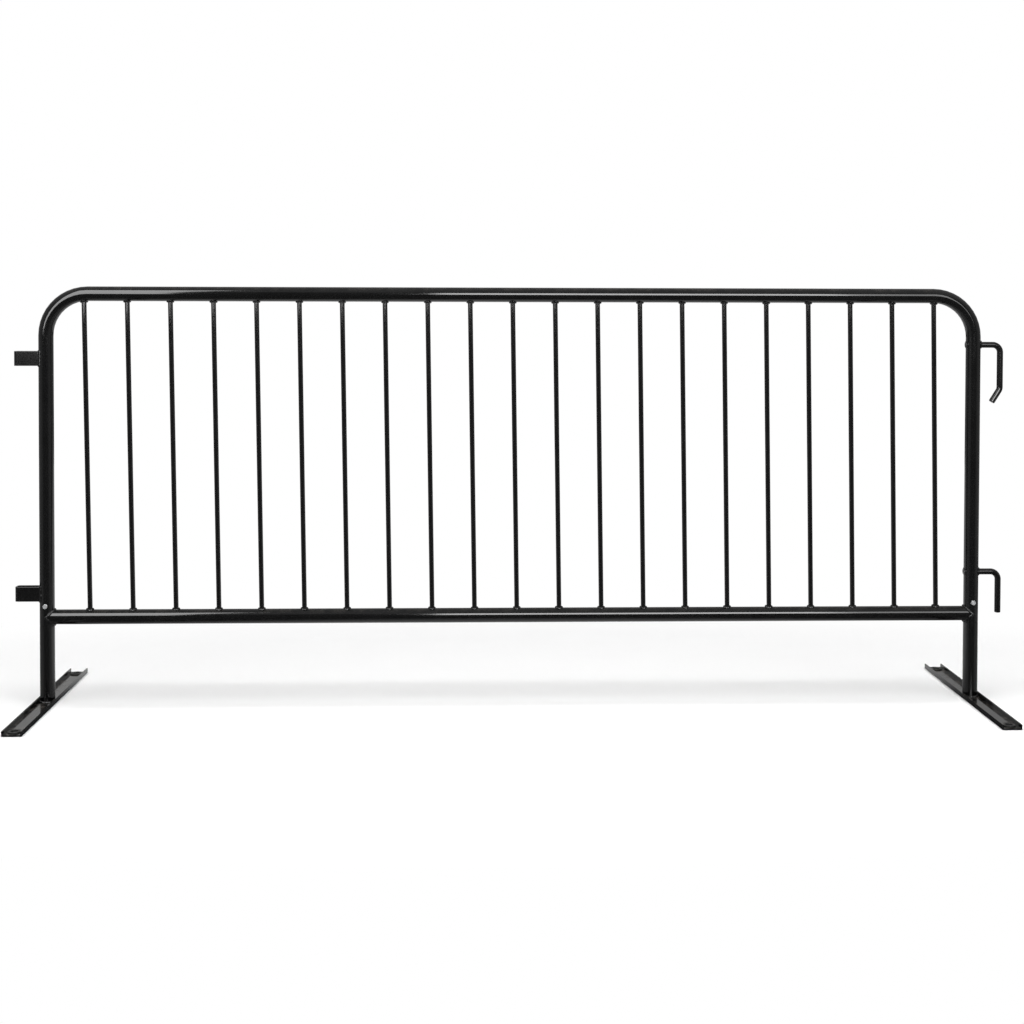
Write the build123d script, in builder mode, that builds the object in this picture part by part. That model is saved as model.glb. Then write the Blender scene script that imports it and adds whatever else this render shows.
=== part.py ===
"""Interlocking steel crowd-control barrier: a bent tube frame with upright bars, link hooks and loops, and two
bolted channel feet. Millimetres, +Z up, +X towards the hooks; the origin is on the floor at the middle of the
barrier, and the bolt heads face -Y."""
from build123d import *
import os
from math import cos, radians, sin, tan

os.makedirs("parts", exist_ok=True)

# Frame
post_spacing = 2431.0  # between the centre lines of the two posts
top_rail_height = 1067.0  # floor to the top rail's centre line
bottom_rail_height = 225.0  # floor to the bottom rail's centre line
tube_diameter = 38.1
tube_wall = 1.65
corner_radius = 108.0  # at the tube's centre line
seam_gap = 2.95  # from the bottom rail's underside down to the posts' open ends
seam_chamfer = 1.0  # on the outer edge of each tube end at the seam

# Upright bars
bar_count = 21
bar_diameter = 12.7
bar_wall = 1.25
bar_end_gap = 102.5  # from a post's centre line to the nearest bar's centre line
bar_head_shift = -4.5  # all the bars lean a little: along X at the top rail
bar_foot_shift = 8.7  # along X at the bottom rail

# Links at the ends, all reaching equally far from the posts
link_reach = 60.85  # beyond a post's outer face
hook_rod_diameter = 15.9
hook_bend_radius = 20.0  # at the rod's centre line
hook_drop_from_bend = 20.7  # from the lower end of a corner bend down to the upper hook's arm
hook_leg_length = 117.0  # arm's centre line to the start of the tip
hook_tip_length = 41.0
hook_tip_angle = 32.0  # degrees, back towards the post
lower_hook_rise = 91.8  # from the bottom rail's top up to the lower hook's arm
lower_hook_leg_length = 109.0
rod_end_chamfer = 1.5
hook_root_out = 1.2  # of the rod's root end beyond the post's inner side, where it is welded
loop_depth = 28.0  # outside, along Y
loop_strap_width = 38.0
loop_strap_thickness = 4.0
loop_bend_radius = 4.0  # inside of the strap's two bends
loop_edge_radius = 0.8
loop_drop_from_bend = 60.0  # from the lower end of a corner bend down to the upper loop's middle
lower_loop_rise = 42.5  # from the bottom rail's top up to the lower loop's middle

# Feet
foot_length = 609.6
channel_width = 48.5
channel_height = 12.7
channel_thickness = 3.2
channel_root_radius = 2.0
channel_edge_radius = 0.7
pad_inset = 25.0  # from a channel's end to the pad's centre
pad_diameter = 32.5
pad_neck_diameter = 26.0
pad_bore = 19.0
pad_rise = 3.0  # above the channel's web
pad_drop = 1.5  # below the channel's web, down to the floor
pad_edge_radius = 0.6
spigot_wall = 2.0
spigot_clearance = 0.4  # radial, between the spigot and the post that slides over it
spigot_insertion = 75.0  # into the leg, and up into the post

# Foot fasteners
bolt_rise = 11.95  # above the bottom rail's top
bolt_diameter = 6.35
bolt_clearance = 0.23  # radial, in the posts and spigots
hex_across_flats = 11.11
hex_turned_inset = 0.25  # from a flat in to the turned circle on the free end
hex_cut_angle = 30.0  # degrees, of the turned corners
bolt_head_height = 4.2
nut_height = 8.0
bolt_stick_out = 2.5  # of the shank beyond the nut
bolt_turns = (30.0, 8.0)  # degrees, how far each head was turned when it was tightened
nut_turns = (11.0, 41.0)

# Worked-out sizes
post_x = post_spacing / 2
tube_radius = tube_diameter / 2
tube_bore_radius = tube_radius - tube_wall
rail_top = bottom_rail_height + tube_radius
seam_height = bottom_rail_height - tube_radius - seam_gap
bend_end_height = top_rail_height - corner_radius
bolt_height = rail_top + bolt_rise
bolt_hole_radius = bolt_diameter / 2 + bolt_clearance
bar_pitch = (post_spacing - 2 * bar_end_gap) / (bar_count - 1)
link_end_x = post_x + tube_radius + link_reach
hook_leg_x = link_end_x - hook_rod_diameter / 2
upper_arm_height = bend_end_height - hook_drop_from_bend
lower_arm_height = rail_top + lower_hook_rise
web_top = pad_drop + channel_thickness
pad_y = foot_length / 2 - pad_inset


def finish_piece(piece, name):
    """Labels a finished piece and writes its STEP file."""
    piece.part.label = name
    export_step(piece.part, f"parts/{name}.step")


def tube_section(outer_radius, bore_radius):
    """A ring in the current sketch."""
    Circle(outer_radius)
    Circle(bore_radius, mode=Mode.SUBTRACT)


def hexagon_block(x, face_y, out, height, turn):
    """A hexagonal block on the plane y = face_y, rising along out, with the corners of its free end turned off."""
    seat = Plane(origin=(x, face_y, bolt_height), x_dir=(cos(radians(turn)), 0, sin(radians(turn))), z_dir=out)
    turned_radius = hex_across_flats / 2 - hex_turned_inset
    with BuildSketch(seat) as hexagon:
        RegularPolygon(radius=hex_across_flats / 2, side_count=6, major_radius=False)
    extrude(hexagon.sketch, amount=height)
    cut_width = hex_across_flats / 4
    section = Plane(origin=seat.origin, x_dir=seat.x_dir, z_dir=-seat.y_dir)
    with BuildSketch(section) as corner_cut:
        with BuildLine():
            Polyline(
                (turned_radius, height),
                (turned_radius + cut_width, height),
                (turned_radius + cut_width, height - cut_width * tan(radians(hex_cut_angle))),
                close=True,
            )
        make_face()
    revolve(corner_cut.sketch, axis=Axis(seat.origin, seat.z_dir), mode=Mode.SUBTRACT)


# Frame tube: one tube bent to an upside-down U, drilled along Y for the foot bolts and along X for the hooks
with BuildPart() as frame_tube:
    with BuildLine() as frame_path:
        FilletPolyline(
            (-post_x, 0, seam_height),
            (-post_x, 0, top_rail_height),
            (post_x, 0, top_rail_height),
            (post_x, 0, seam_height),
            radius=corner_radius,
        )
    with BuildSketch(Plane(origin=frame_path.line @ 0, z_dir=frame_path.line % 0)):
        tube_section(tube_radius, tube_bore_radius)
    sweep()
    with BuildSketch(Plane.XZ):
        with Locations((-post_x, bolt_height), (post_x, bolt_height)):
            Circle(bolt_hole_radius)
    extrude(amount=tube_diameter, both=True, mode=Mode.SUBTRACT)
    with BuildSketch(Plane.YZ.offset(post_x - tube_diameter)):
        with Locations((0, upper_arm_height), (0, lower_arm_height)):
            Circle(hook_rod_diameter / 2)
    extrude(amount=2 * tube_diameter, mode=Mode.SUBTRACT)
    post_end_edges = frame_tube.faces().group_by(Axis.Z)[0].edges()
    chamfer(post_end_edges.filter_by(lambda e: e.radius > tube_bore_radius + 0.1), length=seam_chamfer)
finish_piece(frame_tube, "frame_tube")

# The space that the frame tube fills, taken off whatever is coped to it
with BuildPart() as frame_envelope:
    with BuildSketch(Plane(origin=frame_path.line @ 0, z_dir=frame_path.line % 0)):
        Circle(tube_radius)
    sweep(path=frame_path.line)

# Bottom rail: both ends are coped to the posts, and the tips of the cope stop one wall short of the posts' axes
with BuildPart() as bottom_rail:
    with BuildSketch(Plane.YZ.offset(-post_x + tube_wall)):
        with Locations((0, bottom_rail_height)):
            tube_section(tube_radius, tube_bore_radius)
    extrude(amount=post_spacing - 2 * tube_wall)
    add(frame_envelope.part, mode=Mode.SUBTRACT)
finish_piece(bottom_rail, "bottom_rail")

# Upright bars: both ends are coped to the rails
for index in range(bar_count):
    bar_x = (index - (bar_count - 1) / 2) * bar_pitch
    foot = Vector(bar_x + bar_foot_shift, 0, bottom_rail_height)
    head = Vector(bar_x + bar_head_shift, 0, top_rail_height)
    with BuildPart() as bar:
        with BuildSketch(Plane(origin=foot, z_dir=head - foot)):
            tube_section(bar_diameter / 2, bar_diameter / 2 - bar_wall)
        extrude(amount=(head - foot).length)
        with Locations(foot):
            Cylinder(tube_radius, 2 * bar_diameter, rotation=(0, 90, 0), mode=Mode.SUBTRACT)
        add(frame_envelope.part, mode=Mode.SUBTRACT)
    finish_piece(bar, f"bar_{index + 1:02d}")

# Hooks: a bent rod through the +X post; the upper one ends in a tip turned back towards the post
hook_root_x = post_x - tube_radius - hook_root_out
tip_start_height = upper_arm_height - hook_leg_length
tip_end = (
    hook_leg_x - hook_tip_length * sin(radians(hook_tip_angle)),
    tip_start_height - hook_tip_length * cos(radians(hook_tip_angle)),
)
hooks = {
    "hook_upper": [
        (hook_root_x, 0, upper_arm_height),
        (hook_leg_x, 0, upper_arm_height),
        (hook_leg_x, 0, tip_start_height),
        (tip_end[0], 0, tip_end[1]),
    ],
    "hook_lower": [
        (hook_root_x, 0, lower_arm_height),
        (hook_leg_x, 0, lower_arm_height),
        (hook_leg_x, 0, lower_arm_height - lower_hook_leg_length),
    ],
}
for name, points in hooks.items():
    with BuildPart() as hook:
        with BuildLine() as hook_path:
            FilletPolyline(*points, radius=hook_bend_radius)
        with BuildSketch(Plane(origin=hook_path.line @ 0, z_dir=hook_path.line % 0)):
            Circle(hook_rod_diameter / 2)
        sweep()
        chamfer(hook.faces().sort_by(Axis.Z)[0].edges(), length=rod_end_chamfer)
    finish_piece(hook, name)

# Loops: a flat strap on edge, bent to a U around the space that takes a neighbour's hook
loop_heights = {
    "loop_upper": bend_end_height - loop_drop_from_bend,
    "loop_lower": rail_top + lower_loop_rise,
}
loop_half_depth = loop_depth / 2
inner_half_depth = loop_half_depth - loop_strap_thickness
for name, height in loop_heights.items():
    with BuildPart() as loop:
        with BuildSketch(Plane.XY.offset(height - loop_strap_width / 2)):
            with BuildLine():
                FilletPolyline(
                    (-post_x, loop_half_depth),
                    (-link_end_x, loop_half_depth),
                    (-link_end_x, -loop_half_depth),
                    (-post_x, -loop_half_depth),
                    radius=loop_bend_radius + loop_strap_thickness,
                )
                Line((-post_x, -loop_half_depth), (-post_x, loop_half_depth))
            make_face()
            with BuildLine():
                FilletPolyline(
                    (-post_x, inner_half_depth),
                    (-link_end_x + loop_strap_thickness, inner_half_depth),
                    (-link_end_x + loop_strap_thickness, -inner_half_depth),
                    (-post_x, -inner_half_depth),
                    radius=loop_bend_radius,
                )
                Line((-post_x, -inner_half_depth), (-post_x, inner_half_depth))
            make_face(mode=Mode.SUBTRACT)
        extrude(amount=loop_strap_width)
        flat_faces = loop.faces().filter_by(Axis.Z)
        fillet(flat_faces.edges().filter_by(lambda e: e.center().X < -post_x - 1), radius=loop_edge_radius)
        add(frame_envelope.part, mode=Mode.SUBTRACT)
    finish_piece(loop, name)

# Feet: a channel with its flanges up, a leg tube notched to it and welded on, and a spigot up into the post
for side, foot_x in (("left", -post_x), ("right", post_x)):
    with BuildPart() as channel:
        with BuildSketch(Plane.XZ.offset(-foot_length / 2)) as profile:
            with Locations((foot_x, pad_drop)):
                Rectangle(channel_width, channel_height, align=(Align.CENTER, Align.MIN))
            with Locations((foot_x, web_top)):
                Rectangle(
                    channel_width - 2 * channel_thickness,
                    channel_height,
                    align=(Align.CENTER, Align.MIN),
                    mode=Mode.SUBTRACT,
                )
            roots = profile.vertices().filter_by_position(Axis.Z, web_top - 0.1, web_top + 0.1)
            fillet(roots, radius=channel_root_radius)
            outside = profile.vertices().filter_by(
                lambda v: abs(v.Z - pad_drop) < 0.1 or abs(v.Z - pad_drop - channel_height) < 0.1
            )
            fillet(outside, radius=channel_edge_radius)
        extrude(amount=foot_length)
        with Locations((foot_x, -pad_y, web_top), (foot_x, pad_y, web_top)):
            Cylinder(pad_neck_diameter / 2, 4 * channel_thickness, mode=Mode.SUBTRACT)
    finish_piece(channel, f"foot_channel_{side}")

    with BuildPart() as leg:
        with BuildSketch(Plane.XY.offset(web_top)):
            with Locations((foot_x, 0)):
                tube_section(tube_radius, tube_bore_radius)
        extrude(amount=seam_height - web_top)
        add(channel.part, mode=Mode.SUBTRACT)
        leg_end_edges = leg.faces().sort_by(Axis.Z)[-1].edges()
        chamfer(leg_end_edges.filter_by(lambda e: e.radius > tube_bore_radius + 0.1), length=seam_chamfer)
    finish_piece(leg, f"foot_leg_{side}")

    with BuildPart() as spigot:
        spigot_bore_radius = tube_bore_radius - spigot_clearance - spigot_wall
        with BuildSketch(Plane.XY.offset(seam_height - spigot_insertion)):
            with Locations((foot_x, 0)):
                tube_section(tube_bore_radius, spigot_bore_radius)
        extrude(amount=spigot_insertion)
        with BuildSketch(Plane.XY.offset(seam_height)):
            with Locations((foot_x, 0)):
                tube_section(tube_bore_radius - spigot_clearance, spigot_bore_radius)
        extrude(amount=spigot_insertion)
        with BuildSketch(Plane.XZ):
            with Locations((foot_x, bolt_height)):
                Circle(bolt_hole_radius)
        extrude(amount=tube_diameter, both=True, mode=Mode.SUBTRACT)
    finish_piece(spigot, f"foot_spigot_{side}")

# Rubber pads: flanged bushes pressed into the channels' end holes; their lower rims stand on the floor
with BuildPart() as foot_pads:
    for pad_x in (-post_x, post_x):
        for y in (-pad_y, pad_y):
            with BuildSketch(Plane.XZ.offset(-y)) as pad_profile:
                with BuildLine():
                    Polyline(
                        (pad_x + pad_bore / 2, 0),
                        (pad_x + pad_diameter / 2, 0),
                        (pad_x + pad_diameter / 2, pad_drop),
                        (pad_x + pad_neck_diameter / 2, pad_drop),
                        (pad_x + pad_neck_diameter / 2, web_top),
                        (pad_x + pad_diameter / 2, web_top),
                        (pad_x + pad_diameter / 2, web_top + pad_rise),
                        (pad_x + pad_bore / 2, web_top + pad_rise),
                        close=True,
                    )
                make_face()
                top_corners = pad_profile.vertices().filter_by_position(
                    Axis.Z, web_top + pad_rise - 0.1, web_top + pad_rise + 0.1
                )
                fillet(top_corners, radius=pad_edge_radius)
            revolve(axis=Axis((pad_x, y, 0), (0, 0, 1)))
finish_piece(foot_pads, "foot_pads")

# Foot bolts: hex head on the -Y side of each post, shank through the post and its spigot
with BuildPart() as foot_bolts:
    for x, turn in zip((-post_x, post_x), bolt_turns):
        hexagon_block(x, -tube_radius, (0, -1, 0), bolt_head_height, turn)
        with BuildSketch(Plane.XZ.offset(tube_radius)):
            with Locations((x, bolt_height)):
                Circle(bolt_diameter / 2)
        extrude(amount=-(tube_diameter + nut_height + bolt_stick_out))
finish_piece(foot_bolts, "foot_bolts")

# Foot nuts: on the +Y side
with BuildPart() as foot_nuts:
    for x, turn in zip((-post_x, post_x), nut_turns):
        hexagon_block(x, tube_radius, (0, 1, 0), nut_height, turn)
    with BuildSketch(Plane.XZ):
        with Locations((-post_x, bolt_height), (post_x, bolt_height)):
            Circle(bolt_diameter / 2)
    extrude(amount=-2 * tube_diameter, mode=Mode.SUBTRACT)
finish_piece(foot_nuts, "foot_nuts")
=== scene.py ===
"""Looks for the interlocking steel crowd-control barrier.

Black powder coat on tube, rod and channel, weld beads, zinc and rubber, and a plain white studio.
Metres, +Z up, +X towards the hooks.
"""

from math import ceil, cos, pi, sin, sqrt

import bmesh
import bpy
from mathutils import Matrix, Vector, noise


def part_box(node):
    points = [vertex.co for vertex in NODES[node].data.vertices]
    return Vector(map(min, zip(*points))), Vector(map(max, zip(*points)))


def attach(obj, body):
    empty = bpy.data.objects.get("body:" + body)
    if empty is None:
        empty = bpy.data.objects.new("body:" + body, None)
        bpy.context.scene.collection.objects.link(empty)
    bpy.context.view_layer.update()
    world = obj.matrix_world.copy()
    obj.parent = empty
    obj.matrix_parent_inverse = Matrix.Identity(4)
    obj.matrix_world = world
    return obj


bl_info = {
    "name": "Crowd Control Barrier Looks",
    "version": (1, 0, 0),
    "blender": (4, 5, 0),
    "location": "View3D > Sidebar > Barrier",
    "description": "Finishes, weld beads and studio for a steel crowd-control barrier",
    "category": "Object",
}

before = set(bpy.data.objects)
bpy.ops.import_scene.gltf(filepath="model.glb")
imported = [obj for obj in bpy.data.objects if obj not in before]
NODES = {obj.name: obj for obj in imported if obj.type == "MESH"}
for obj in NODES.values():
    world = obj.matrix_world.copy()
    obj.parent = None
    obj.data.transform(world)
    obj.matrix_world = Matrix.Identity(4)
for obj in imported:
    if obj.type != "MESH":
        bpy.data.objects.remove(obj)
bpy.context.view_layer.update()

BARS = sorted(name for name in NODES if name.startswith("bar_"))
SIDES = {"left": -1, "right": 1}


# Sizes worked out from the frame

RAIL_LOW, RAIL_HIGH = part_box("bottom_rail")
FRAME_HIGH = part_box("frame_tube")[1]
TUBE_RADIUS = (RAIL_HIGH.z - RAIL_LOW.z) / 2
BOTTOM_RAIL_HEIGHT = (RAIL_LOW.z + RAIL_HIGH.z) / 2
TOP_RAIL_HEIGHT = FRAME_HIGH.z - TUBE_RADIUS
POST_X = FRAME_HIGH.x - TUBE_RADIUS
TOP_SLACK = 1e-5
STRAIGHT_END_X = max(
    abs(v.co.x) for v in NODES["frame_tube"].data.vertices if v.co.z > FRAME_HIGH.z - TOP_SLACK
)

# Directions, and a texture that isn't drawn out along any axis

TOWARDS_HOOKS = Vector((1, 0, 0))
TOWARDS_LOOPS = Vector((-1, 0, 0))
AWAY = Vector((0, 1, 0))
UP = Vector((0, 0, 1))
DOWN = Vector((0, 0, -1))
EVENLY = (1, 1, 1)

# What the textures work with: where a surface counts as facing up, and shares of other values

UPWARD_RISE = (0.35, 0.95)
NOISE_MIDDLE = 0.5
CLOUD_GLOSS = 0.06
STREAK_GLOSS = 0.04
DUST_DULLNESS = 0.5
SCUFF_DULLNESS = 0.35
PEBBLE_SHARE = 1 / 4
PEBBLE_DEPTH_SHARE = 1 / 12
SCUFF_DEPTH_SHARE = -1 / 3
ZINC_CLOUD_GRAINS = 5
ZINC_DEPTH_SHARE = 1 / 20

# How the beads and plugs vary, and the seeds that each group of beads counts from

BEAD_WOBBLES_PER_METRE = 140
BEAD_SEED_STEP = 7.3
BEAD_FADE = 4
RAIL_SEED, HOOK_SEED, LOOP_SEED, FOOT_SEED = 50, 60, 70, 80
FEWEST_PUDDLES = 3
SADDLE_STRETCH = 1.2
OUTWARD_LEAN = 0.3
PROBE_SHARE = 1 / 10
PLUG_RINGS, PLUG_SPOKES = 14, 72
PLUG_SEED_STEP = 3.1
PLUG_LUMP_RATE = 1.3
PLUG_LUMP_OUTLINE, PLUG_LUMP_HEIGHT = 0.16, 0.25
PLUG_RIPPLES, PLUG_RIPPLE_SHARE = 3.5, 0.12
PLUG_ROUNDNESS = 0.6

# The stage. The floor takes shadows on an oval round the barrier's middle and is plain white past it

SENSOR_WIDTH = 36
FLOOR_HALF, FLOOR_CELLS = 38.0, 8
OVAL_X, OVAL_Y = 2.0, 0.9
OVAL_FADE = (0.6, 1.3)
PAPER_HALF, PAPER_DROP = 6.0, 0.004
PAPER_FRONT_FADE = (-0.45, 0.05)
PAPER_CURVE = 0.3
SURROUND_RADIUS, SURROUND_SEGMENTS, SURROUND_RINGS = 40.0, 48, 24

# The room by direction: bearings from the camera's side in radians, and rises as the height of a unit arrow

FRONT_TO_SIDES = (0.5, 1.05)
SIDES_TO_BACK = (1.9, 2.5)
BACKDROP_FOOT = (-0.15, 0.02)
BACKDROP_TOP = (0.7, 0.35)
BACKDROP_RIGHT = (0.0, 0.25, 1.0, 0.45)
DARK_FLOOR_RISE, DARK_FLOOR_SHARE = (0.0, -0.12), -0.85
CEILING_RISE = (0.35, 0.6)

# The lights' sizes and places

OVERHEAD_SIZE, OVERHEAD_PLACE = (7.0, 3.4), (0, -1.0, 3.4)
LEFT_SIZE, LEFT_PLACE = (1.3, 3.2), (-1.95, -2.0, 2.6)
RIGHT_SIZE, RIGHT_PLACE = (2.3, 1.9), (0.85, -4.2, 2.05)
WING_SIZE, WING_PLACE = (1.2, 1.9), (2.6, -4.2, 2.05)
WING_SHARE = 1 / 5


def bar_ends(node):
    """The centres of a bar's lower and upper end, and its radius."""
    low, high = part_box(node)
    half_height = (low.z + high.z) / 2
    ends = []
    for upper in (False, True):
        ring = [v.co for v in NODES[node].data.vertices if (v.co.z > half_height) == upper]
        across = [co.x for co in ring]
        heights = [co.z for co in ring]
        ends.append(Vector(((min(across) + max(across)) / 2, 0, (min(heights) + max(heights)) / 2)))
    return ends[0], ends[1], (high.y - low.y) / 2


# Shader expressions


class Shade:
    """A node tree's socket in an expression: + - and * on it add the Math nodes that they stand for."""

    def __init__(self, tree, socket=None):
        self.tree = tree
        self.socket = socket

    def node(self, kind, settings=(), sockets=(), output=0):
        """Adds a node. Its settings come first, then the values or links of its sockets."""
        made = self.tree.nodes.new(kind)
        for name, value in dict(settings).items():
            setattr(made, name, value)
        for name, value in dict(sockets).items():
            if isinstance(value, Shade):
                self.tree.links.new(value.socket, made.inputs[name])
            else:
                made.inputs[name].default_value = value
        return Shade(self.tree, made.outputs[output])

    def math(self, operation, *values):
        """A Math node on these numbers or sockets."""
        return self.node("ShaderNodeMath", {"operation": operation}, dict(enumerate(values)))

    def __add__(self, other):
        return self.math("ADD", self, other)

    __radd__ = __add__

    def __sub__(self, other):
        return self.math("SUBTRACT", self, other)

    def __rsub__(self, other):
        return self.math("SUBTRACT", other, self)

    def __mul__(self, other):
        return self.math("MULTIPLY", self, other)

    __rmul__ = __mul__

    def between(self, low, high, start=0.0, end=1.0):
        """Runs smoothly from start at low to end at high."""
        return self.node(
            "ShaderNodeMapRange",
            {"interpolation_type": "SMOOTHSTEP"},
            {"Value": self, "From Min": low, "From Max": high, "To Min": start, "To Max": end},
        )

    def mix(self, first, second):
        """Goes from the first colour to the second as this goes from 0 to 1."""
        factor, colour_a, colour_b, colour_result = 0, 6, 7, 2
        sockets = {factor: self, colour_a: first, colour_b: second}
        return self.node("ShaderNodeMix", {"data_type": "RGBA"}, sockets, colour_result)

    def place(self):
        """Where on the object a point is, in metres."""
        return self.node("ShaderNodeTexCoord", output="Object")

    def axis(self, letter):
        """The X, Y or Z part of a vector."""
        return self.node("ShaderNodeSeparateXYZ", {}, {"Vector": self}, letter)

    def speckle(self, size, detail=2.0, stretch=EVENLY, roughness=0.5):
        """Noise with features of this size, drawn out along an axis where its stretch is over 1."""
        mapping = {"Vector": self.place(), "Scale": [1 / (size * s) for s in stretch]}
        spread = self.node("ShaderNodeMapping", {}, mapping)
        sockets = {"Vector": spread, "Scale": 1.0, "Detail": detail, "Roughness": roughness}
        return self.node("ShaderNodeTexNoise", {}, sockets)

    def bump(self, height, distance, strength, under=None):
        """A Bump node for this height, over another one if there is one."""
        sockets = {"Height": height, "Distance": distance, "Strength": strength}
        if under:
            sockets["Normal"] = under
        return self.node("ShaderNodeBump", {}, sockets)

    def upward(self):
        """1 where the surface faces up, 0 where it is upright or faces down."""
        return self.node("ShaderNodeNewGeometry", output="Normal").axis("Z").between(*UPWARD_RISE)

    def glow(self, strength):
        """White light of this strength."""
        return self.node("ShaderNodeEmission", {}, {"Color": grey(1), "Strength": strength})

    def blend(self, first, second):
        """Goes from the first shader to the second as this goes from 0 to 1."""
        return self.node("ShaderNodeMixShader", {}, {0: self, 1: first, 2: second})

    def cover(self):
        """Makes this shader the surface of its material."""
        output = next(node for node in self.tree.nodes if node.type == "OUTPUT_MATERIAL")
        self.tree.links.new(self.socket, output.inputs["Surface"])


def grey(level):
    """An RGBA grey."""
    return (level, level, level, 1)


def opaque(colour):
    """An RGBA colour from a setting's three channels."""
    return (*colour, 1)


def new_material(name, **constants):
    """A material with one Principled BSDF, the constants on its sockets, and a Shade for its tree."""
    material = bpy.data.materials.new(name)
    material.use_nodes = True
    principled = material.node_tree.nodes["Principled BSDF"]
    for socket, value in constants.items():
        principled.inputs[socket.replace("_", " ")].default_value = value
    return material, Shade(material.node_tree), principled


def feed(principled, socket, shade):
    """Links a shade to one of the shader's sockets."""
    shade.tree.links.new(shade.socket, principled.inputs[socket])


def powder_coat(name, streak, dust=0.0, scuffs=0.0, thick=1.0, dull=0.0):
    """Black powder coat: orange peel, draw marks along the streak, handling marks, dust and scuffs."""
    look = bpy.context.scene.barrier_finishes
    material, shade, principled = new_material(name, IOR=look.coat_ior)
    peel = shade.speckle(look.peel_size, detail=2.5)
    pebble = shade.speckle(look.peel_size * PEBBLE_SHARE, detail=1.0)
    streaks = shade.speckle(look.streak_width, detail=3.0, stretch=streak)
    cloud = shade.speckle(look.cloud_size, detail=4.0, roughness=0.6)
    drift = shade.speckle(look.dust_size, detail=5.0, roughness=0.7)
    settled = shade.upward() * drift.between(0.42, 0.66)
    rubbed = streaks.between(0.60, 0.70) * cloud.between(0.50, 0.62)
    clean = cloud.between(0.3, 0.7).mix(opaque(look.coat_dark), opaque(look.coat_light))
    worn = (rubbed * scuffs).mix(clean, opaque(look.scuff_colour))
    feed(principled, "Base Color", (settled * dust).mix(worn, opaque(look.dust_colour)))
    clouded = look.coat_roughness + dull + (cloud - NOISE_MIDDLE) * CLOUD_GLOSS
    handled = clouded + (streaks - NOISE_MIDDLE) * STREAK_GLOSS
    dulled = handled + settled * (DUST_DULLNESS * dust) + rubbed * (SCUFF_DULLNESS * scuffs)
    feed(principled, "Roughness", dulled)
    waves = shade.bump(peel, look.peel_depth * thick, 0.5)
    fine = shade.bump(pebble, look.peel_depth * PEBBLE_DEPTH_SHARE, 0.25, under=waves)
    feed(principled, "Normal", shade.bump(rubbed, look.peel_depth * SCUFF_DEPTH_SHARE, scuffs, under=fine))
    return material


def zinc_plate():
    """Bright zinc plate: a brushed grain, and clouds where the plating bath left it duller."""
    look = bpy.context.scene.barrier_finishes
    material, shade, principled = new_material("zinc_plate", Metallic=look.zinc_metallic)
    grain = shade.speckle(look.zinc_grain, detail=4.0, stretch=(5, 1, 1))
    cloud = shade.speckle(look.zinc_grain * ZINC_CLOUD_GRAINS, detail=3.0)
    bright_to_dull = cloud.between(0.35, 0.7).mix(opaque(look.zinc_bright), opaque(look.zinc_dull))
    feed(principled, "Base Color", bright_to_dull)
    clouded = look.zinc_roughness + (cloud - NOISE_MIDDLE) * 0.2
    feed(principled, "Roughness", clouded + (grain - NOISE_MIDDLE) * 0.15)
    feed(principled, "Normal", shade.bump(grain, look.zinc_grain * ZINC_DEPTH_SHARE, 0.5))
    return material


def mill_steel():
    """Bare drawn tube with a dull oil-dark scale, hidden inside the posts."""
    material, shade, principled = new_material("mill_steel", Metallic=1.0)
    scale = shade.speckle(0.01, detail=5.0, stretch=(1, 1, 6), roughness=0.65)
    feed(principled, "Base Color", scale.between(0.35, 0.65).mix(grey(0.16), grey(0.42)))
    feed(principled, "Roughness", scale.between(0.3, 0.7, 0.55, 0.3))
    feed(principled, "Normal", shade.bump(scale, 0.00005, 0.4))
    return material


def moulded_rubber():
    """Black moulded rubber with a fine sand texture and pale dust in it."""
    look = bpy.context.scene.barrier_finishes
    material, shade, principled = new_material("moulded_rubber", Specular_IOR_Level=0.35)
    sand = shade.speckle(0.0005, detail=2.0)
    bloom = shade.speckle(0.006, detail=5.0, roughness=0.65).between(0.45, 0.7) * shade.upward()
    dusted = (bloom * 0.5).mix(opaque(look.rubber_colour), opaque(look.rubber_dust))
    feed(principled, "Base Color", dusted)
    feed(principled, "Roughness", look.rubber_roughness + (sand - NOISE_MIDDLE) * 0.2)
    feed(principled, "Normal", shade.bump(sand, 0.00008, 0.6))
    return material


def finish_node(name, material):
    """Gives a CAD node this material."""
    for slot in NODES[name].material_slots:
        slot.material = material


# Weld beads


def wobble(s, seed):
    """A hand-made wobble about 0, at the distance s along a bead."""
    return noise.noise(Vector((s * BEAD_WOBBLES_PER_METRE, seed * BEAD_SEED_STEP, 0.5)))


def add_bead(bm, stations, leg, seed):
    """Adds a closed fillet of weld. A station is (root, along one surface, along the other, outward)."""
    look = bpy.context.scene.barrier_welds
    count = len(stations)
    total = sum((stations[i][0] - stations[i - 1][0]).length for i in range(count))
    puddles = max(FEWEST_PUDDLES, round(total / look.ripple_pitch))
    s = 0.0
    rings = []
    for i, (root, one, other, outward) in enumerate(stations):
        if i:
            s += (root - stations[i - 1][0]).length
        fade = min(1.0, BEAD_FADE * min(s, total - s) / total)
        size = leg * (1 + look.unevenness * wobble(s, seed) * fade)
        ring = [bm.verts.new(root - outward * look.root_depth)]
        for step in range(look.section_steps + 1):
            u = step / look.section_steps
            crest = 4 * u * (1 - u)
            ripple = abs(sin(pi * (s / total * puddles + look.ripple_curve * crest)))
            rise = size * (look.crown + look.ripple_height * (ripple - 0.5)) * crest
            spread = root + one * size * (1 - u) + other * size * u
            ring.append(bm.verts.new(spread + outward * (rise - look.toe_depth * (1 - crest))))
        rings.append(ring)
    for i in range(count):
        here, there = rings[i - 1], rings[i]
        for j in range(len(here)):
            bm.faces.new((here[j - 1], here[j], there[j], there[j - 1]))


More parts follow.
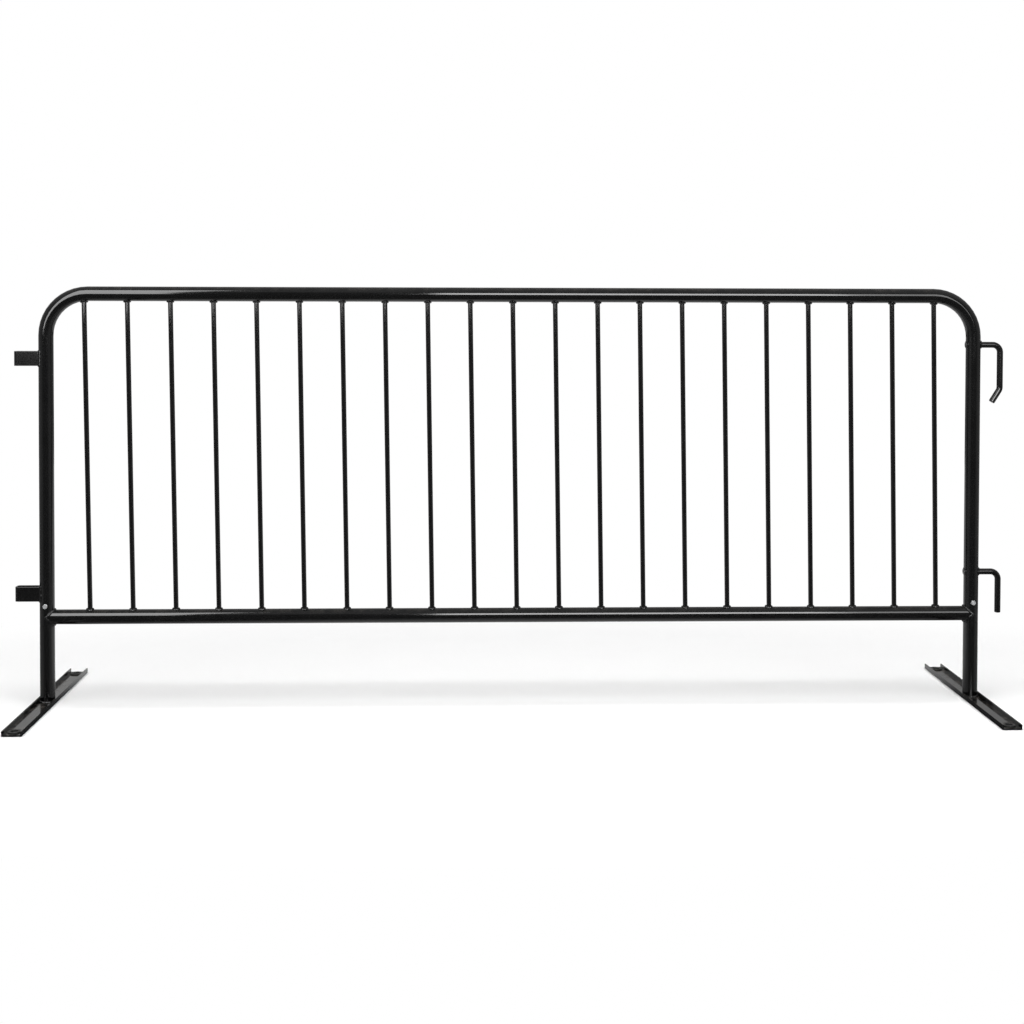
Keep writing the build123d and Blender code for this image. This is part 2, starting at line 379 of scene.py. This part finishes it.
def ring_stations(centre, axis, radius, seat, leg):
    """Stations round a rod or bar that meets a surface. seat moves a point along axis onto that surface."""
    look = bpy.context.scene.barrier_welds
    count = ceil(2 * pi * radius / look.station_gap)
    u = axis.orthogonal().normalized()
    v = axis.cross(u)
    probe = leg * PROBE_SHARE
    stations = []
    for i in range(count):
        outward = u * cos(2 * pi * i / count) + v * sin(2 * pi * i / count)
        root = seat(centre + outward * radius)
        along = (seat(centre + outward * (radius + probe)) - root).normalized()
        stations.append((root, along, axis, (along + axis).normalized()))
    return stations


def mesh_object(name, bm, material):
    """Puts a mesh in the scene with its material."""
    mesh = bpy.data.meshes.new(name)
    bm.to_mesh(mesh)
    bm.free()
    mesh.materials.append(material)
    made = bpy.data.objects.new(name, mesh)
    bpy.context.scene.collection.objects.link(made)
    return made


def new_piece(name, bm, material):
    """Finishes a mesh: outward normals, smooth shading, its material, and a ride on the barrier."""
    bmesh.ops.recalc_face_normals(bm, faces=bm.faces)
    piece = mesh_object(name, bm, material)
    piece.data.shade_smooth()
    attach(piece, "root")
    return piece


def weld_coat():
    """The powder coat over the beads, shared by all of them."""
    shared = bpy.data.materials.get("coat_welds")
    return shared or powder_coat("coat_welds", EVENLY, dust=0.1, thick=1.4)


def slide(point, axis, height):
    """Moves a point along axis to this height."""
    return point + axis * ((height - point.z) / axis.z)


def on_bottom_rail(point, axis):
    """Moves a point along axis onto the bottom rail's upper side."""
    return slide(point, axis, BOTTOM_RAIL_HEIGHT + sqrt(TUBE_RADIUS**2 - point.y**2))


def on_top_rail(point, axis):
    """Moves a point along axis onto the underside of the top rail or of its corner bends."""
    half = sqrt(TUBE_RADIUS**2 - point.y**2)
    into_bend = abs(point.x) - STRAIGHT_END_X
    if into_bend <= 0:
        return slide(point, axis, TOP_RAIL_HEIGHT - half)
    bend = POST_X - STRAIGHT_END_X
    centre_height = TOP_RAIL_HEIGHT - bend
    return slide(point, axis, centre_height + sqrt((bend - half) ** 2 - into_bend**2))


def on_post(point, side, away):
    """Moves a point along X onto a post, on its outer half (away 1) or its inner half (away -1)."""
    half = sqrt(max(TUBE_RADIUS**2 - point.y**2, 0))
    return Vector((side * (POST_X + away * half), point.y, point.z))


def rail_joint_stations(side):
    """Stations round the bottom rail's end, along the saddle where it meets a post of the same diameter."""
    look = bpy.context.scene.barrier_welds
    radius = TUBE_RADIUS
    count = ceil(2 * pi * radius * SADDLE_STRETCH / look.station_gap)

    def saddle(i):
        turn = 2 * pi * i / count
        return Vector((side * (POST_X - radius * abs(cos(turn))), radius * sin(turn), radius * cos(turn)))

    stations = []
    out = Vector((side, 0, 0))
    for i in range(count):
        root = saddle(i)
        along = (saddle(i + 1) - saddle(i - 1)).normalized()
        rail_normal = Vector((0, root.y, root.z)).normalized()
        post_normal = Vector((root.x - side * POST_X, root.y, 0)).normalized()
        on_rail = rail_normal.cross(along).normalized()
        if on_rail.dot(out) > 0:
            on_rail.negate()
        up_post = post_normal.cross(along).normalized()
        if up_post.dot(rail_normal + out * OUTWARD_LEAN) < 0:
            up_post.negate()
        root.z += BOTTOM_RAIL_HEIGHT
        stations.append((root, on_rail, up_post, (rail_normal + post_normal).normalized()))
    return stations


def strap_stations(node, y_side):
    """Stations round one leg of a strap loop where it meets the left-hand post."""
    look = bpy.context.scene.barrier_welds
    corner = look.strap_corner
    low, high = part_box(node)
    thickness = strap_thickness(node)
    half_y = thickness / 2 - corner
    half_z = (high.z - low.z) / 2 - corner
    centre = Vector((0, y_side * (high.y - thickness / 2), (low.z + high.z) / 2))
    axis = TOWARDS_LOOPS
    probe = look.link_leg * PROBE_SHARE
    outline = []
    for start, (sign_y, sign_z) in enumerate(((1, 1), (-1, 1), (-1, -1), (1, -1))):
        pivot = centre + Vector((0, sign_y * half_y, sign_z * half_z))
        for step in range(look.corner_steps + 1):
            turn = (start + step / look.corner_steps) * pi / 2
            outward = Vector((0, cos(turn), sin(turn)))
            outline.append((pivot + outward * corner, outward))
    stations = []
    for i, (point, outward) in enumerate(outline):
        before = outline[i - 1][0]
        gap = (point - before).length
        fill = max(1, round(gap / look.station_gap))
        for k in range(1, fill + 1):
            mixed = before.lerp(point, k / fill)
            way = outline[i - 1][1].lerp(outward, k / fill).normalized()
            root = on_post(mixed, -1, 1)
            along = (on_post(mixed + way * probe, -1, 1) - root).normalized()
            stations.append((root, along, axis, (along + axis).normalized()))
    return stations


def strap_thickness(node):
    """A loop's strap thickness: how far its outer end face is from the eye's end."""
    low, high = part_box(node)
    near_middle = (high.y - low.y) / 4
    past_outer_face = low.x + (high.x - low.x) / 50
    flat = [v.co.x for v in NODES[node].data.vertices if abs(v.co.y) < near_middle]
    return min(x for x in flat if x > past_outer_face) - low.x


# What a user can change


class BarrierFinishes(bpy.types.PropertyGroup):
    """Colours and textures of the barrier's finishes."""

    coat_dark: bpy.props.FloatVectorProperty(
        name="Coat dark", description="Darker tone of the powder coat",
        subtype="COLOR", default=(0.0026, 0.0026, 0.0027),
    )
    coat_light: bpy.props.FloatVectorProperty(
        name="Coat light", description="Lighter tone of the powder coat",
        subtype="COLOR", default=(0.0044, 0.0044, 0.0045),
    )
    coat_roughness: bpy.props.FloatProperty(
        name="Coat roughness", description="Roughness of the powder coat, 0 for a mirror",
        subtype="FACTOR", default=0.085,
    )
    coat_ior: bpy.props.FloatProperty(
        name="Coat IOR", description="Refractive index of the powder coat", default=1.5
    )
    peel_size: bpy.props.FloatProperty(
        name="Orange peel size", description="Width of the coat's ripples",
        unit="LENGTH", default=0.0028,
    )
    peel_depth: bpy.props.FloatProperty(
        name="Orange peel depth", description="Depth of the coat's ripples",
        unit="LENGTH", default=0.000022,
    )
    streak_width: bpy.props.FloatProperty(
        name="Streak width", description="Width of draw marks under the coat",
        unit="LENGTH", default=0.0022,
    )
    cloud_size: bpy.props.FloatProperty(
        name="Handling marks", description="Size of patches with a slightly different gloss",
        unit="LENGTH", default=0.05,
    )
    dust_size: bpy.props.FloatProperty(
        name="Dust patches", description="Size of dust patches on upper faces",
        unit="LENGTH", default=0.03,
    )
    dust_colour: bpy.props.FloatVectorProperty(
        name="Dust", description="Colour of settled dust",
        subtype="COLOR", default=(0.11, 0.098, 0.085),
    )
    scuff_colour: bpy.props.FloatVectorProperty(
        name="Scuffs", description="Colour of scuffed coat",
        subtype="COLOR", default=(0.06, 0.06, 0.06),
    )
    zinc_metallic: bpy.props.FloatProperty(
        name="Zinc metallic", description="How metallic the zinc plate looks",
        subtype="FACTOR", default=0.7,
    )
    zinc_roughness: bpy.props.FloatProperty(
        name="Zinc roughness", description="Roughness of the zinc plate", subtype="FACTOR", default=0.42
    )
    zinc_bright: bpy.props.FloatVectorProperty(
        name="Bright zinc", description="Colour of the zinc plate",
        subtype="COLOR", default=(0.66, 0.66, 0.65),
    )
    zinc_dull: bpy.props.FloatVectorProperty(
        name="Dull zinc", description="Colour of its duller clouds",
        subtype="COLOR", default=(0.50, 0.52, 0.55),
    )
    zinc_grain: bpy.props.FloatProperty(
        name="Zinc grain", description="Width of the plate's brushed grain", unit="LENGTH", default=0.0006
    )
    rubber_colour: bpy.props.FloatVectorProperty(
        name="Rubber", description="Colour of the rubber pads",
        subtype="COLOR", default=(0.012, 0.012, 0.012),
    )
    rubber_dust: bpy.props.FloatVectorProperty(
        name="Rubber dust", description="Colour of dust in the rubber",
        subtype="COLOR", default=(0.09, 0.085, 0.08),
    )
    rubber_roughness: bpy.props.FloatProperty(
        name="Rubber roughness", description="Roughness of the rubber pads", subtype="FACTOR", default=0.62
    )


class BarrierWelds(bpy.types.PropertyGroup):
    """Sizes of the weld beads."""

    bar_leg: bpy.props.FloatProperty(
        name="Bar weld", description="Leg length of the beads round the bars",
        unit="LENGTH", default=0.0040,
    )
    rail_leg: bpy.props.FloatProperty(
        name="Rail weld", description="Leg length of the beads at the bottom rail's ends",
        unit="LENGTH", default=0.0038,
    )
    link_leg: bpy.props.FloatProperty(
        name="Link weld", description="Leg length of the beads at the hooks and loops",
        unit="LENGTH", default=0.0034,
    )
    foot_leg: bpy.props.FloatProperty(
        name="Foot weld", description="Leg length of the beads at the feet",
        unit="LENGTH", default=0.0045,
    )
    plug_radius: bpy.props.FloatProperty(
        name="Plug radius", description="Radius of the weld over a hook's root",
        unit="LENGTH", default=0.0105,
    )
    plug_height: bpy.props.FloatProperty(
        name="Plug height", description="How far the weld over a hook's root stands up",
        unit="LENGTH", default=0.0022,
    )
    ripple_pitch: bpy.props.FloatProperty(
        name="Ripple pitch", description="Distance between a bead's ripples",
        unit="LENGTH", default=0.0026,
    )
    ripple_height: bpy.props.FloatProperty(
        name="Ripple height", description="Height of the ripples, as a share of the leg",
        default=0.14,
    )
    ripple_curve: bpy.props.FloatProperty(
        name="Ripple curve", description="How far each ripple bows along the bead, in ripples",
        default=0.45,
    )
    crown: bpy.props.FloatProperty(
        name="Crown", description="Rise of the bead's middle, as a share of the leg", default=0.24
    )
    unevenness: bpy.props.FloatProperty(
        name="Unevenness", description="Variation of a bead's size along its length",
        subtype="FACTOR", default=0.35,
    )
    root_depth: bpy.props.FloatProperty(
        name="Root depth", description="How deep the bead reaches into the corner",
        unit="LENGTH", default=0.0006,
    )
    toe_depth: bpy.props.FloatProperty(
        name="Toe depth", description="How far the bead's edges lie under the surface",
        unit="LENGTH", default=0.00012,
    )
    station_gap: bpy.props.FloatProperty(
        name="Station gap", description="Distance between a bead's mesh sections",
        unit="LENGTH", default=0.00045,
    )
    section_steps: bpy.props.IntProperty(
        name="Section steps", description="Number of faces across a bead", default=7
    )
    strap_corner: bpy.props.FloatProperty(
        name="Strap corner", description="Radius at which a bead turns round a strap",
        unit="LENGTH", default=0.001,
    )
    corner_steps: bpy.props.IntProperty(
        name="Corner steps", description="Number of sections round a strap's corner", default=4
    )


class BarrierStudio(bpy.types.PropertyGroup):
    """Camera and lights."""

    lens: bpy.props.FloatProperty(
        name="Lens", description="Focal length for a 36 mm sensor", unit="CAMERA", default=51.14
    )
    shift: bpy.props.FloatVectorProperty(
        name="Shift", description="Sideways and upright shift of the lens",
        size=2, default=(-0.001, -0.1668),
    )
    place: bpy.props.FloatVectorProperty(
        name="Place", description="Where the camera stands",
        subtype="TRANSLATION", default=(-0.1244, -3.809, 1.0364),
    )
    turn: bpy.props.FloatVectorProperty(
        name="Turn", description="Tilt up, roll, and turn to the left of the camera",
        subtype="EULER", default=(-0.0238, 0.0025, -0.0318),
    )
    room_front: bpy.props.FloatProperty(
        name="Room front", description="Brightness behind the camera", default=0.12
    )
    room_sides: bpy.props.FloatProperty(
        name="Room sides", description="Brightness to the left and right", default=0.34
    )
    room_back: bpy.props.FloatProperty(
        name="Room back", description="Brightness behind the barrier", default=0.62
    )
    room_ceiling: bpy.props.FloatProperty(
        name="Room ceiling", description="Brightness overhead", default=0.42
    )
    paper_level: bpy.props.FloatProperty(
        name="Paper", description="Brightness of the paper in reflections", default=0.9
    )
    overhead_power: bpy.props.FloatProperty(
        name="Overhead", description="Power of the light from above", unit="POWER", default=312.0
    )
    left_power: bpy.props.FloatProperty(
        name="Left panel", description="Power of the left panel, which only reflections show",
        unit="POWER", default=90.0,
    )
    right_power: bpy.props.FloatProperty(
        name="Right panel", description="Power of the right panel; its wing has a fifth as much",
        unit="POWER", default=150.0,
    )


# Operators


class BARRIER_OT_coat_steel(bpy.types.Operator):
    """Powder-coats the frame, bars, links and feet"""

    bl_idname = "barrier.coat_steel"
    bl_label = "Coat the steel"

    def execute(self, context):
        along_x = powder_coat("coat_rails", streak=(40, 1, 1), dust=0.12, thick=0.8)
        along_z = powder_coat("coat_bars", streak=(1, 1, 40), dust=0.1, thick=0.5)
        links = powder_coat("coat_links", streak=(1, 1, 6), dust=0.1, scuffs=0.35, thick=0.7, dull=0.07)
        feet = powder_coat("coat_feet", streak=(1, 30, 1), dust=0.35, scuffs=0.3)
        for name in ("frame_tube", "bottom_rail"):
            finish_node(name, along_x)
        for name in BARS:
            finish_node(name, along_z)
        for name in ("hook_upper", "hook_lower", "loop_upper", "loop_lower"):
            finish_node(name, links)
        for side in SIDES:
            finish_node(f"foot_channel_{side}", feet)
            finish_node(f"foot_leg_{side}", along_z)
        return {"FINISHED"}


class BARRIER_OT_finish_small_parts(bpy.types.Operator):
    """Gives the bolts, nuts, spigots and pads their finishes"""

    bl_idname = "barrier.finish_small_parts"
    bl_label = "Finish the small parts"

    def execute(self, context):
        zinc = zinc_plate()
        for name in ("foot_bolts", "foot_nuts"):
            finish_node(name, zinc)
        steel = mill_steel()
        for side in SIDES:
            finish_node(f"foot_spigot_{side}", steel)
        finish_node("foot_pads", moulded_rubber())
        return {"FINISHED"}


class BARRIER_OT_weld_bars(bpy.types.Operator):
    """Lays a bead round each end of every upright bar"""

    bl_idname = "barrier.weld_bars"
    bl_label = "Weld the bars"

    def execute(self, context):
        leg = context.scene.barrier_welds.bar_leg
        feet = bmesh.new()
        heads = bmesh.new()
        for index, name in enumerate(BARS):
            low, high, radius = bar_ends(name)
            up = (high - low).normalized()
            down = -up
            lower = ring_stations(low, up, radius, lambda p: on_bottom_rail(p, up), leg)
            upper = ring_stations(high, down, radius, lambda p: on_top_rail(p, down), leg)
            add_bead(feet, lower, leg, index)
            add_bead(heads, upper, leg, index + len(BARS))
        for name, bm in (("bar_foot_welds", feet), ("bar_head_welds", heads)):
            new_piece(name, bm, weld_coat())
        return {"FINISHED"}


class BARRIER_OT_weld_rail(bpy.types.Operator):
    """Lays a bead round each end of the bottom rail"""

    bl_idname = "barrier.weld_rail"
    bl_label = "Weld the bottom rail"

    def execute(self, context):
        leg = context.scene.barrier_welds.rail_leg
        bm = bmesh.new()
        for seed, side in enumerate(SIDES.values(), RAIL_SEED):
            add_bead(bm, rail_joint_stations(side), leg, seed)
        new_piece("rail_end_welds", bm, weld_coat())
        return {"FINISHED"}


class BARRIER_OT_weld_hooks(bpy.types.Operator):
    """Lays a bead round each hook at the post, and a plug of weld over its root on the post's inner side"""

    bl_idname = "barrier.weld_hooks"
    bl_label = "Weld the hooks"

    def plug(self, bm, centre, seed):
        """Adds a rippled dome that sits on the post's inner side."""
        look = bpy.context.scene.barrier_welds
        rows = []
        for ring in range(1, PLUG_RINGS + 1):
            share = ring / PLUG_RINGS
            row = []
            for spoke in range(PLUG_SPOKES):
                turn = 2 * pi * spoke / PLUG_SPOKES
                way = Vector((0, cos(turn), sin(turn)))
                lump = noise.noise(Vector((way.y, way.z, seed * PLUG_SEED_STEP)) * PLUG_LUMP_RATE)
                reach = look.plug_radius * share * (1 + PLUG_LUMP_OUTLINE * lump)
                seat = on_post(centre + way * reach, 1, -1)
                ripple = PLUG_RIPPLE_SHARE * abs(sin(pi * (share * PLUG_RIPPLES + spoke / PLUG_SPOKES)))
                dome = (1 - share**2) ** PLUG_ROUNDNESS
                rise = look.plug_height * (1 + PLUG_LUMP_HEIGHT * lump - ripple) * dome
                row.append(bm.verts.new(seat + TOWARDS_LOOPS * (rise - look.toe_depth)))
            rows.append(row)
        peak = bm.verts.new(on_post(centre, 1, -1) + TOWARDS_LOOPS * look.plug_height)
        root = bm.verts.new(on_post(centre, 1, -1) - TOWARDS_LOOPS * look.root_depth)
        for spoke in range(PLUG_SPOKES):
            bm.faces.new((peak, rows[0][spoke - 1], rows[0][spoke]))
            bm.faces.new((root, rows[-1][spoke - 1], rows[-1][spoke]))
            for inner, outer in zip(rows, rows[1:]):
                bm.faces.new((inner[spoke - 1], inner[spoke], outer[spoke], outer[spoke - 1]))

    def execute(self, context):
        leg = context.scene.barrier_welds.link_leg
        bm = bmesh.new()
        for index, name in enumerate(("hook_upper", "hook_lower")):
            low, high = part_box(name)
            radius = (high.y - low.y) / 2
            centre = Vector((POST_X, 0, high.z - radius))
            stations = ring_stations(centre, TOWARDS_HOOKS, radius, lambda p: on_post(p, 1, 1), leg)
            add_bead(bm, stations, leg, HOOK_SEED + index)
            self.plug(bm, centre, index)
        new_piece("hook_welds", bm, weld_coat())
        return {"FINISHED"}


class BARRIER_OT_weld_loops(bpy.types.Operator):
    """Lays a bead round each strap end at the left-hand post"""

    bl_idname = "barrier.weld_loops"
    bl_label = "Weld the loops"

    def execute(self, context):
        leg = context.scene.barrier_welds.link_leg
        bm = bmesh.new()
        for index, name in enumerate(("loop_upper", "loop_lower")):
            for y_side in (-1, 1):
                add_bead(bm, strap_stations(name, y_side), leg, LOOP_SEED + 2 * index + y_side)
        new_piece("loop_welds", bm, weld_coat())
        return {"FINISHED"}


class BARRIER_OT_weld_feet(bpy.types.Operator):
    """Lays a bead round each leg where it stands on its channel"""

    bl_idname = "barrier.weld_feet"
    bl_label = "Weld the feet"

    def execute(self, context):
        leg = context.scene.barrier_welds.foot_leg
        bm = bmesh.new()
        for seed, side in enumerate(SIDES, FOOT_SEED):
            low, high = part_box(f"foot_leg_{side}")
            radius = (high.y - low.y) / 2
            base = Vector(((low.x + high.x) / 2, 0, low.z))
            stations = ring_stations(base, UP, radius, lambda p: slide(p, UP, low.z), leg)
            add_bead(bm, stations, leg, seed)
        new_piece("leg_welds", bm, weld_coat())
        return {"FINISHED"}


class BARRIER_OT_build_stage(bpy.types.Operator):
    """Makes the floor, the white surround, the lights and the camera"""

    bl_idname = "barrier.build_stage"
    bl_label = "Build the stage"

    def prop(self, name, bm, material, unseen_by):
        """Puts a mesh on the stage, unseen by these kinds of ray."""
        made = mesh_object(name, bm, material)
        for ray in unseen_by:
            setattr(made, f"visible_{ray}", False)
        return made

    def floor(self):
        """A white floor that shows soft shadows near the barrier and fades to plain white further out."""
        bm = bmesh.new()
        bmesh.ops.create_grid(bm, x_segments=FLOOR_CELLS, y_segments=FLOOR_CELLS, size=FLOOR_HALF)
        matt = {"Base_Color": grey(0.85), "Roughness": 0.9, "Specular_IOR_Level": 0.0}
        material, shade, principled = new_material("floor_white", **matt)
        oval = {"Vector": shade.place(), "Scale": (1 / OVAL_X, 1 / OVAL_Y, 1)}
        where = shade.node("ShaderNodeMapping", {}, oval)
        distance = shade.node("ShaderNodeVectorMath", {"operation": "LENGTH"}, {0: where}, "Value")
        lit = Shade(shade.tree, principled.outputs["BSDF"])
        distance.between(*OVAL_FADE).blend(lit, shade.glow(1.0)).cover()
        self.prop("floor", bm, material, ("glossy",))

    def paper(self, studio):
        """The white paper round the barrier, as its coat reflects it. It ends in an arc in front."""
        bm = bmesh.new()
        bmesh.ops.create_grid(bm, x_segments=1, y_segments=1, size=PAPER_HALF)
        material, shade, _ = new_material("paper_white")
        x, y = (shade.place().axis(letter) for letter in "XY")
        inside = (y - x * x * PAPER_CURVE).between(*PAPER_FRONT_FADE)
        inside.blend(shade.node("ShaderNodeBsdfTransparent"), shade.glow(studio.paper_level)).cover()
        sheet = self.prop("paper", bm, material, ("camera", "diffuse", "shadow"))
        sheet.location.z = -PAPER_DROP

    def surround(self):
        """A white dome that only the camera sees."""
        bm = bmesh.new()
        divisions = {"u_segments": SURROUND_SEGMENTS, "v_segments": SURROUND_RINGS}
        bmesh.ops.create_uvsphere(bm, radius=SURROUND_RADIUS, **divisions)
        material, shade, _ = new_material("surround_white")
        shade.glow(1.0).cover()
        self.prop("surround", bm, material, ("diffuse", "glossy", "shadow"))

    def room(self, studio):
        """What the coat reflects: a room that is dark behind the camera, and lighter elsewhere."""
        world = bpy.data.worlds.new("room")
        bpy.context.scene.world = world
        world.use_nodes = True
        shade = Shade(world.node_tree)
        way = shade.node("ShaderNodeTexCoord", output="Generated")
        x, y, z = (way.axis(letter) for letter in "XYZ")
        bearing = shade.math("ABSOLUTE", shade.math("ARCTAN2", x, y * -1))
        sides = bearing.between(*FRONT_TO_SIDES, studio.room_front, studio.room_sides)
        behind = bearing.between(*SIDES_TO_BACK)
        low = z.between(*BACKDROP_FOOT) * z.between(*BACKDROP_TOP) * x.between(*BACKDROP_RIGHT)
        backdrop = behind * low * (studio.room_back - studio.room_sides)
        unlit_floor = behind * z.between(*DARK_FLOOR_RISE) * (studio.room_sides * DARK_FLOOR_SHARE)
        walls = sides + backdrop + unlit_floor
        ceiling = z.between(*CEILING_RISE) * studio.room_ceiling
        level = shade.math("MAXIMUM", walls, ceiling)
        background = world.node_tree.nodes["Background"]
        world.node_tree.links.new(level.socket, background.inputs["Strength"])
        background.inputs["Color"].default_value = grey(1)
        # The room shows in reflections only, so that it doesn't fill in the shadow on the floor
        world.cycles_visibility.diffuse = False

    def light(self, name, size, place, facing, power, for_floor=False):
        """An area light for the floor and other matt surfaces, or else one that only reflections show."""
        lamp = bpy.data.lights.new(name, "AREA")
        lamp.shape = "RECTANGLE"
        lamp.size, lamp.size_y = size
        lamp.energy = power
        made = bpy.data.objects.new(name, lamp)
        bpy.context.scene.collection.objects.link(made)
        made.location = place
        made.rotation_euler = facing.to_track_quat("-Z", "Y").to_euler()
        made.visible_diffuse = for_floor
        made.visible_glossy = not for_floor
        made.visible_camera = False

    def camera(self, studio):
        """The camera, from its place and turn."""
        tilt, roll, pan = studio.turn
        lens = bpy.data.cameras.new("camera")
        lens.sensor_width = SENSOR_WIDTH
        lens.lens = studio.lens
        lens.shift_x, lens.shift_y = studio.shift
        piece = bpy.data.objects.new("camera", lens)
        bpy.context.scene.collection.objects.link(piece)
        piece.matrix_world = (
            Matrix.Translation(studio.place)
            @ Matrix.Rotation(pan, 4, "Z")
            @ Matrix.Rotation(pi / 2 + tilt, 4, "X")
            @ Matrix.Rotation(roll, 4, "Z")
        )
        bpy.context.scene.camera = piece

    def execute(self, context):
        studio = context.scene.barrier_studio
        self.floor()
        self.paper(studio)
        self.surround()
        self.room(studio)
        self.light("overhead", OVERHEAD_SIZE, OVERHEAD_PLACE, DOWN, studio.overhead_power, for_floor=True)
        self.light("left_panel", LEFT_SIZE, LEFT_PLACE, AWAY, studio.left_power)
        self.light("right_panel", RIGHT_SIZE, RIGHT_PLACE, AWAY, studio.right_power)
        self.light("right_wing", WING_SIZE, WING_PLACE, AWAY, studio.right_power * WING_SHARE)
        self.camera(studio)
        context.scene.view_settings.view_transform = "Standard"
        return {"FINISHED"}


class BARRIER_PT_looks(bpy.types.Panel):
    """Lists the steps that dress the barrier"""

    bl_idname = "BARRIER_PT_looks"
    bl_label = "Barrier looks"
    bl_space_type = "VIEW_3D"
    bl_region_type = "UI"
    bl_category = "Barrier"

    def draw(self, context):
        for group in GROUPS:
            settings = getattr(context.scene, group)
            for name in settings.bl_rna.properties.keys():
                if name not in ("rna_type", "name"):
                    self.layout.prop(settings, name)
        for operator in OPERATORS:
            self.layout.operator(operator.bl_idname)


OPERATORS = (
    BARRIER_OT_coat_steel,
    BARRIER_OT_finish_small_parts,
    BARRIER_OT_weld_bars,
    BARRIER_OT_weld_rail,
    BARRIER_OT_weld_hooks,
    BARRIER_OT_weld_loops,
    BARRIER_OT_weld_feet,
    BARRIER_OT_build_stage,
)
GROUPS = {
    "barrier_finishes": BarrierFinishes,
    "barrier_welds": BarrierWelds,
    "barrier_studio": BarrierStudio,
}


def register():
    for group in GROUPS.values():
        bpy.utils.register_class(group)
    for name, group in GROUPS.items():
        setattr(bpy.types.Scene, name, bpy.props.PointerProperty(type=group))
    for entry in (*OPERATORS, BARRIER_PT_looks):
        bpy.utils.register_class(entry)


def unregister():
    for entry in (BARRIER_PT_looks, *reversed(OPERATORS)):
        bpy.utils.unregister_class(entry)
    for name, group in GROUPS.items():
        delattr(bpy.types.Scene, name)
        bpy.utils.unregister_class(group)


def main():
    """Runs every step in order."""
    register()
    for operator in OPERATORS:
        area, step = operator.bl_idname.split(".")
        getattr(getattr(bpy.ops, area), step)()


if __name__ == "__main__":
    main()
